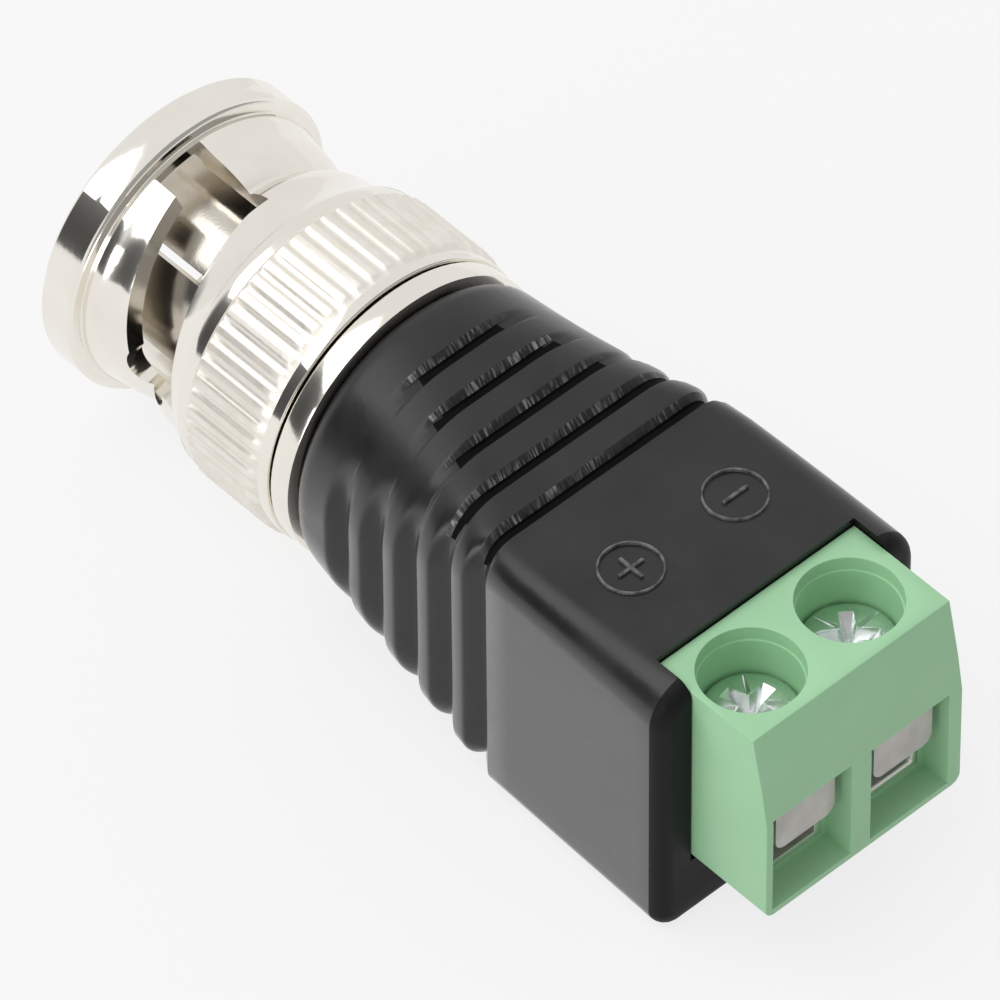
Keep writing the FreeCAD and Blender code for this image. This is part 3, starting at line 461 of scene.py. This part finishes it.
def cam_edges(base):
    """Window that opens wide at the channel and goes on as a slot along the helix."""
    edges = []
    for index in range(WINDOW_STEPS):
        local = -WINDOW_HALF + index * 2.0
        slot_front = CAM_FRONT - CAM_LEAD * local / 360.0
        front = WINDOW_FRONT if local <= WINDOW_HALF else slot_front
        rear = WINDOW_REAR - CAM_LEAD * max(local, 0.0) / 360.0
        edges.append((base + local, front, rear))
        if local == WINDOW_HALF:
            edges.append((base + local + 0.05, slot_front, rear))
    return edges


def seat_edges(base):
    """Round seat at the end of the slot."""
    edges = []
    for index in range(25):
        share = -1.0 + index / 12.0
        reach = SEAT_RADIUS * math.sqrt(max(1.0 - share * share, 0.0)) + 0.002
        edges.append((base + SEAT_TURN + SEAT_HALF * share, SEAT_X + reach, SEAT_X - reach))
    return edges


def build_nut():
    nut = turned("bayonet_nut", nut_outline(), KNURL_COUNT * KNURL_STEPS,
                 lambda step: KNURL_DEPTH * KNURL_WAVE[step % KNURL_STEPS])
    outward(nut)
    cutters = []
    for half in (0.0, 180.0):
        base = REST_TURN + half
        channel = [(base + turn, CHANNEL_FRONT, CHANNEL_REAR) for turn in CHANNEL_TURNS]
        cutters += [strip("window_%d" % half, cam_edges(base), *WINDOW_RADII),
                    strip("channel_%d" % half, channel, *CHANNEL_RADII),
                    strip("seat_%d" % half, seat_edges(base), *WINDOW_RADII)]
    cut(nut, cutters)
    soften(nut, 0.05, 2, 50.0)
    settle(nut, cutters)
    smooth(nut, 40.0)
    return nut


def paint_knurl(nut):
    """Satin look of the knurled band."""
    nut.data.materials.append(SATIN)
    for face in nut.data.polygons:
        x, y, z = (value / MM for value in face.center)
        if KNURL_REAR < x < KNURL_FRONT and math.hypot(y, z) > KNURL_INNER:
            face.material_index = 1


bayonet_nut = build_nut()
finish_piece(bayonet_nut, "coupling_nut", NICKEL)
paint_knurl(bayonet_nut)


# Housing: round at the nut, square at the terminals, with soft ribs between grooves

FRONT, SHOULDER, REAR = -13.35, -24.2, -34.0
GROOVES = [-16.1 - 1.9 * index for index in range(5)]
TOP_DEPTH = 0.38
SIDE_DEPTH = 0.62
LIP_FROM, LIP_TO = 0.14, 0.44
# Where the painted highlight on a groove's front wall starts and the painted shade of its floor
# ends.
HIGHLIGHT_FROM = 0.22
TOP_BACK = -0.34
EDGE_FRONT, EDGE_REAR = 0.75, 0.70
GROOVE_REACH = 1.1
STATION_OFFSETS = (-0.54, -0.44, -0.38, -0.34, -0.31, -0.28, -0.22, -0.15, -0.125, -0.10, -0.03,
                   0.05, 0.14, 0.21, 0.29, 0.36, 0.44, 0.50, 0.58, 0.66, 0.75, 0.85, 0.95)
SEAT_BOX = ((-35.0, -5.05, -4.0), (-32.05, 5.05, 8.5))
CHAMBER_BOX = ((-32.2, -3.6, -3.6), (-20.6, 3.6, 3.6))
BORE_OUTLINE = [(-13.0, 0.02), (-13.0, 4.22), (-20.7, 4.22), (-20.7, 0.02)]
# Length of the rear end that gets the matt black darkened as painted shade.
DULL_SHADED_REAR = 0.62
CORNER_STEPS = 14
FLAT_STEPS = 9


def housing_section(x):
    """Half width, top, bottom, upper and lower corner radius of the crest at a station."""
    if x > SHOULDER:
        share = (FRONT - x) / (FRONT - SHOULDER)
        swell = 0.5 * math.sin(math.pi * min(1.0, 1.1 * share))
        return (6.3, 6.3 - 0.6 * share, -6.3 - 0.85 * share, 6.2 - 4.7 * share + swell,
                6.2 - 5.25 * share)
    share = (SHOULDER - x) / (SHOULDER - REAR)
    return (6.3 + 0.25 * share, 5.7 + 0.17 * share, -7.13 - 0.14 * share,
            1.5 - 0.15 * min(1.0, 20.0 * share) + 0.45 * share ** 2, 0.95)


def section_ring(half, top, bottom, upper, lower):
    """Points and outward directions round a rounded rectangle, from the middle of the top."""
    ring = []

    def straight(start, finish, way):
        for index in range(FLAT_STEPS):
            share = index / FLAT_STEPS
            ring.append((start[0] + (finish[0] - start[0]) * share,
                         start[1] + (finish[1] - start[1]) * share, *way))

    def corner(centre, radius, angle):
        for index in range(CORNER_STEPS):
            turn = math.radians(angle - 90.0 * index / CORNER_STEPS)
            way = (math.cos(turn), math.sin(turn))
            ring.append((centre[0] + radius * way[0], centre[1] + radius * way[1], *way))

    straight((0.0, top), (half - upper, top), (0.0, 1.0))
    corner((half - upper, top - upper), upper, 90.0)
    straight((half, top - upper), (half, bottom + lower), (1.0, 0.0))
    corner((half - lower, bottom + lower), lower, 0.0)
    straight((half - lower, bottom), (lower - half, bottom), (0.0, -1.0))
    corner((lower - half, bottom + lower), lower, -90.0)
    straight((-half, bottom + lower), (-half, top - upper), (-1.0, 0.0))
    corner((upper - half, top - upper), upper, -180.0)
    straight((upper - half, top), (0.0, top), (0.0, 1.0))
    return ring


def outside_of(y, z, half, top, bottom, radius):
    """How far a point lies outside a rounded rectangle."""
    middle = (top + bottom) / 2
    dy = abs(y) - (half - radius)
    dz = abs(z - middle) - ((top - bottom) / 2 - radius)
    return math.hypot(max(dy, 0.0), max(dz, 0.0)) + min(max(dy, dz), 0.0) - radius


def ease(value):
    value = min(max(value, 0.0), 1.0)
    return value * value * (3 - 2 * value)


def top_wave(u):
    """Upright rear wall, flat floor and a sloped front wall."""
    if u < 0.0:
        return ease((u - TOP_BACK) / 0.06)
    return min(1.0, max(0.0, (LIP_TO - u) / (LIP_TO - LIP_FROM)))


def side_wave(u):
    """Soft rear shoulder of the rib ahead, tight valley, short bevel of the rib behind."""
    if u > 0.05:
        return 1 - ease((u - 0.05) / 0.85)
    if u > -0.10:
        return 1.0
    if u > -0.15:
        return 0.45 + 0.55 * (u + 0.15) / 0.05
    return max(0.0, 0.45 * (1 - (-0.15 - u) / 0.38))


def groove_inset(x, y, z, nz):
    """Depth of the nearest groove under a crest point."""
    half, top, bottom, upper, lower = housing_section(x)
    crown = ease((nz - 0.55) / 0.4)
    side = SIDE_DEPTH + (TOP_DEPTH - SIDE_DEPTH) * crown
    deep = max(0.0, outside_of(y, z, half - SIDE_DEPTH, top - TOP_DEPTH, bottom + SIDE_DEPTH,
                               0.60 * (upper if z > 0.0 else lower)))
    deep = min(deep, side)
    wave = 0.0
    for groove in GROOVES:
        u = x - groove
        if abs(u) < GROOVE_REACH:
            wave = max(wave, side_wave(u) + (top_wave(u) - side_wave(u)) * crown)
    return deep * wave


def housing_stations():
    stations = {FRONT, SHOULDER, REAR}
    for groove in GROOVES:
        stations.update(groove + offset for offset in STATION_OFFSETS)
    for index in range(1, 9):
        stations.add(FRONT - 0.2 * index)
        stations.add(SHOULDER - 1.2 * index)
    return sorted((x for x in stations if x <= FRONT), reverse=True)


def build_housing():
    rings = []
    for index in range(6):
        turn = math.radians(15.0 * index)
        rings.append((FRONT - EDGE_FRONT * (1 - math.cos(turn)),
                      EDGE_FRONT * (1 - math.sin(turn))))
    for x in housing_stations():
        if FRONT - EDGE_FRONT - 0.02 > x > REAR + EDGE_REAR + 0.02:
            rings.append((x, 0.0))
    for index in range(7):
        turn = math.radians(15.0 * index)
        rings.append((REAR + EDGE_REAR * (1 - math.sin(turn)),
                      EDGE_REAR * (1 - math.cos(turn))))
    vertices = []
    for x, shrink in rings:
        for y, z, ny, nz in section_ring(*housing_section(x)):
            inset = shrink + groove_inset(x, y, z, nz)
            vertices.append((x, y - ny * inset, z - nz * inset))
    count = len(vertices) // len(rings)
    faces = [tuple(range(count)), tuple(reversed(range(len(vertices) - count, len(vertices))))]
    for step in range(len(rings) - 1):
        here, there = step * count, (step + 1) * count
        for index in range(count):
            after = (index + 1) % count
            faces.append((here + index, there + index, there + after, here + after))
    shell = mesh_object("ribbed_housing", vertices, faces)
    outward(shell)
    cutters = [block("seat_cutter", *SEAT_BOX), block("chamber_cutter", *CHAMBER_BOX),
               turned("bore_cutter", BORE_OUTLINE, 96)]
    cut(shell, cutters)
    settle(shell, cutters)
    smooth(shell, 42.0)
    return shell


def paint_housing(shell):
    """Matt rear end darkened as painted shade, groove floors darkened as painted shade, and a
    painted highlight on the front walls of the top grooves.
    """
    for material in (BLACK_REAR_SHADE, LIP_HIGHLIGHT, GROOVE_SHADE):
        shell.data.materials.append(material)
    for face in shell.data.polygons:
        x, y, z = (value / MM for value in face.center)
        half, top, bottom, upper, lower = housing_section(x)
        sunk = -outside_of(y, z, half, top, bottom, upper if z > 0.0 else lower)
        offset = min((x - groove for groove in GROOVES), key=abs)
        crowned = z > top - 0.25 * upper - 0.8
        # Rear end: matt black darkened as painted shade.
        if x < REAR + DULL_SHADED_REAR:
            face.material_index = 1
        # Painted highlight strokes on the front walls of the top grooves.
        elif crowned and HIGHLIGHT_FROM < offset < LIP_TO and face.normal.x < -0.3:
            face.material_index = 2
        # Painted shade on the floors of the top grooves.
        elif crowned and sunk > 0.2 and TOP_BACK < offset < HIGHLIGHT_FROM:
            face.material_index = 3


ribbed_housing = build_housing()
finish_piece(ribbed_housing, "housing", BLACK)
paint_housing(ribbed_housing)


# Polarity marks: raised rings with a plus and a minus, in a pale mottled grey that is a painted
# glint

MARK_X = -28.2
MARK_SPAN = 2.65
MARK_LOW, MARK_HIGH = 5.6, 5.9
MARK_ARM, MARK_THIN = 0.62, 0.075


def ring_mark(name, y):
    outline = [(1.18, MARK_LOW), (1.205, MARK_HIGH - 0.02), (1.25, MARK_HIGH),
               (1.295, MARK_HIGH - 0.02), (1.32, MARK_LOW)]
    steps = 96
    vertices = []
    for step in range(steps):
        turn = 2 * math.pi * step / steps
        for radius, z in outline:
            vertices.append((MARK_X + radius * math.cos(turn), y + radius * math.sin(turn), z))
    count = len(outline)
    faces = []
    for step in range(steps):
        here, there = step * count, (step + 1) % steps * count
        for index in range(count):
            after = (index + 1) % count
            faces.append((here + index, here + after, there + after, there + index))
    return mesh_object(name, vertices, faces)


def add_marks():
    pieces = [ring_mark("ring_positive", MARK_SPAN), ring_mark("ring_negative", -MARK_SPAN)]
    for name, middle, along, across, top in (
            ("plus_long", MARK_SPAN, MARK_ARM, MARK_THIN, MARK_HIGH - 0.015),
            ("plus_cross", MARK_SPAN, MARK_THIN, MARK_ARM, MARK_HIGH - 0.02),
            ("minus_bar", -MARK_SPAN, MARK_THIN, MARK_ARM, MARK_HIGH - 0.015)):
        pieces.append(block(name, (MARK_X - along, middle - across, MARK_LOW),
                            (MARK_X + along, middle + across, top)))
    for piece in pieces:
        outward(piece)
        soften(piece, 0.02, 2, 40.0)
        settle(piece)
        smooth(piece, 50.0)
        piece.data.materials.clear()
        # The marks get the pale mottled grey of the painted glint.
        piece.data.materials.append(MARK_GLINT)
        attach(piece, "adapter")


add_marks()


# Terminal block, frames, guards and screws

finish_piece(rounded_copy("terminal_body", "terminal_block", 0.09, 3), "terminal_body", GREEN)
finish_piece(rounded_copy("body_collar", "rear_ring", 0.03, 2), "body_collar", NICKEL)

WELL_X = -34.64
POLES = {"positive": (2.65, 12.0), "negative": (-2.35, 52.0)}
SHANK_RADIUS, HEAD_RADIUS = 1.25, 1.88
SHANK_LOW, HEAD_LOW, HEAD_EDGE, HEAD_TOP = -0.48, 2.35, 3.12, 3.55
CROWN_RADIUS, CROWN_RISE = 0.5, 0.40
RECESS_LEVELS = ((2.70, 0.50, 0.08), (3.74, 1.48, 0.36))
TICK_LEVELS = ((0.62, 0.16, 3.08), (1.70, 0.14, 3.27))
TICK_TOP = 3.8


def wing(centre, turn):
    """Start, outward way and sideways way of one arm of the recess."""
    angle = math.radians(turn)
    way = Vector((math.cos(angle), math.sin(angle)))
    return Vector(centre), way, Vector((-way.y, way.x))


def recess(name, centre, turn):
    """Cutter of a cross recess: four wings that taper toward the bottom."""
    vertices = []
    for z, reach, half in RECESS_LEVELS:
        for index in range(4):
            start, way, side = wing(centre, turn + 90.0 * index)
            for along, across in ((half, -half), (reach, -half), (reach, half)):
                spot = start + way * along + side * across
                vertices.append((spot.x, spot.y, z))
    faces = [tuple(reversed(range(12))), tuple(range(12, 24))]
    faces += [(k, (k + 1) % 12, 12 + (k + 1) % 12, 12 + k) for k in range(12)]
    return mesh_object(name, vertices, faces)


def tick(name, centre, turn):
    """Cutter of a fine notch between two wings, open at the top."""
    start, way, side = wing(centre, turn)
    vertices = []
    for reach, half, low in TICK_LEVELS:
        for height, wide in ((low, 0.0), (TICK_TOP, 1.0)):
            for sign in (-1, 1):
                spot = start + way * reach + side * sign * (half * wide + 0.01)
                vertices.append((spot.x, spot.y, height))
    faces = [(0, 1, 3, 2), (4, 6, 7, 5), (0, 4, 5, 1), (2, 3, 7, 6), (0, 2, 6, 4), (1, 5, 7, 3)]
    return mesh_object(name, vertices, faces)


def build_screw(word):
    pole, turn = POLES[word]
    centre = (WELL_X, pole)
    outline = [(0.0, SHANK_LOW), (0.95, SHANK_LOW), (SHANK_RADIUS, -0.18),
               (SHANK_RADIUS, HEAD_LOW), (1.80, HEAD_LOW), (HEAD_RADIUS, 2.43),
               (HEAD_RADIUS, 2.95), (HEAD_RADIUS, HEAD_EDGE)]
    outline += [(CROWN_RADIUS + 1.38 * math.cos(math.radians(a)),
                 HEAD_EDGE + CROWN_RISE * math.sin(math.radians(a))) for a in range(10, 90, 10)]
    outline += [(CROWN_RADIUS, 3.53), (0.0, HEAD_TOP)]
    head = lathe("screw_" + word, outline, 72, centre)
    outward(head)
    cutters = [recess("recess_" + word, centre, turn)]
    cutters += [tick("tick_%s_%d" % (word, index), centre, turn + 45.0 + 90.0 * index)
                for index in range(4)]
    cut(head, cutters)
    soften(head, 0.05, 2, 35.0)
    settle(head, cutters)
    smooth(head, 35.0)
    return head


for word in POLES:
    finish_piece(build_screw(word), "terminal_screw_" + word, ZINC)
    finish_piece(rounded_copy("contact_frame_" + word, "clamp_frame_" + word, 0.13, 3),
                 "contact_frame_" + word, TIN)
    finish_piece(rounded_copy("wire_guard_" + word, "guard_plate_" + word, 0.08, 3),
                 "wire_guard_" + word, GUARD)


# Studio

FLOOR_TONE = 0.72
BACKDROP_SHARE = 0.80
SCREEN_WAY = (0.490, 0.845, 0.215)
DOME_STOPS = ((0.0, 0.86), (0.84, 0.86), (0.93, 0.16), (1.0, 0.08))
REAR_SHARE = 0.42


def add_floor():
    low = CAD_BOX[0][2]
    bpy.ops.mesh.primitive_plane_add(size=3.0, location=(AIM.x, 0.0, low))
    floor = bpy.context.object
    floor.name = "studio_floor"
    material = bpy.data.materials.new("studio_floor")
    material.use_nodes = True
    tree = material.node_tree
    tree.nodes.clear()
    nodes = Nodes(tree)
    matte = nodes.add("ShaderNodeBsdfDiffuse", {
        "Color": (FLOOR_TONE, FLOOR_TONE, FLOOR_TONE, 1.0)})
    white = nodes.add("ShaderNodeEmission", {"Color": (1.0, 1.0, 1.0, 1.0), "Strength": 1.0})
    rays = nodes.add("ShaderNodeLightPath")
    mirror = nodes.add("ShaderNodeMath", {
        0: rays.outputs["Is Glossy Ray"], 1: rays.outputs["Is Transmission Ray"]},
        operation="MAXIMUM")
    seen = nodes.add("ShaderNodeMath", {
        0: rays.outputs["Is Camera Ray"], 1: mirror.outputs[0]}, operation="MAXIMUM")
    share = nodes.add("ShaderNodeMath", {0: seen.outputs[0], 1: BACKDROP_SHARE},
                      operation="MULTIPLY")
    mixed = nodes.add("ShaderNodeMixShader", {0: share.outputs[0]})
    tree.links.new(matte.outputs[0], mixed.inputs[1])
    tree.links.new(white.outputs[0], mixed.inputs[2])
    out = nodes.add("ShaderNodeOutputMaterial")
    tree.links.new(mixed.outputs[0], out.inputs["Surface"])
    floor.data.materials.append(material)


def add_world():
    """Even pale dome, dimmer toward the rear, with one dark screen at the left."""
    world = bpy.data.worlds.new("studio")
    bpy.context.scene.world = world
    world.use_nodes = True
    tree = world.node_tree
    tree.nodes.clear()
    nodes = Nodes(tree)
    place = nodes.add("ShaderNodeTexCoord").outputs["Generated"]
    lean = nodes.add("ShaderNodeVectorMath", {0: place, 1: SCREEN_WAY},
                     operation="DOT_PRODUCT")
    parts = nodes.add("ShaderNodeSeparateXYZ", {0: place})
    fade = nodes.add("ShaderNodeMapRange", {
        "Value": parts.outputs["X"], "From Min": -0.6, "From Max": 0.0, "To Min": REAR_SHARE,
        "To Max": 1.0}, interpolation_type="SMOOTHSTEP")
    ramp = nodes.add("ShaderNodeValToRGB", {0: lean.outputs["Value"]})
    elements = ramp.color_ramp.elements
    while len(elements) < len(DOME_STOPS):
        elements.new(0.5)
    for element, (position, tone) in zip(elements, DOME_STOPS):
        element.position = position
        element.color = (tone, tone, tone, 1.0)
    light = nodes.add("ShaderNodeBackground", {
        0: ramp.outputs["Color"], 1: fade.outputs["Result"]})
    out = nodes.add("ShaderNodeOutputWorld")
    tree.links.new(light.outputs[0], out.inputs["Surface"])


def add_area(name, direction, distance, size, power):
    """Soft lamp that looks at the object from a direction."""
    data = bpy.data.lights.new(name, "AREA")
    data.shape = "RECTANGLE"
    data.size, data.size_y = size
    data.energy = power
    lamp = bpy.data.objects.new(name, data)
    bpy.context.scene.collection.objects.link(lamp)
    aim = Vector(direction).normalized()
    lamp.location = AIM + aim * distance
    lamp.rotation_euler = aim.to_track_quat("Z", "Y").to_euler()


add_floor()
add_world()
add_area("key_lamp", (0.35, 0.45, 1.0), 0.60, (0.50, 0.50), 1.25)
add_area("side_lamp", (-0.10, 1.0, 0.22), 0.50, (0.30, 0.22), 0.45)
add_camera()
bpy.context.scene.view_settings.view_transform = "Standard"
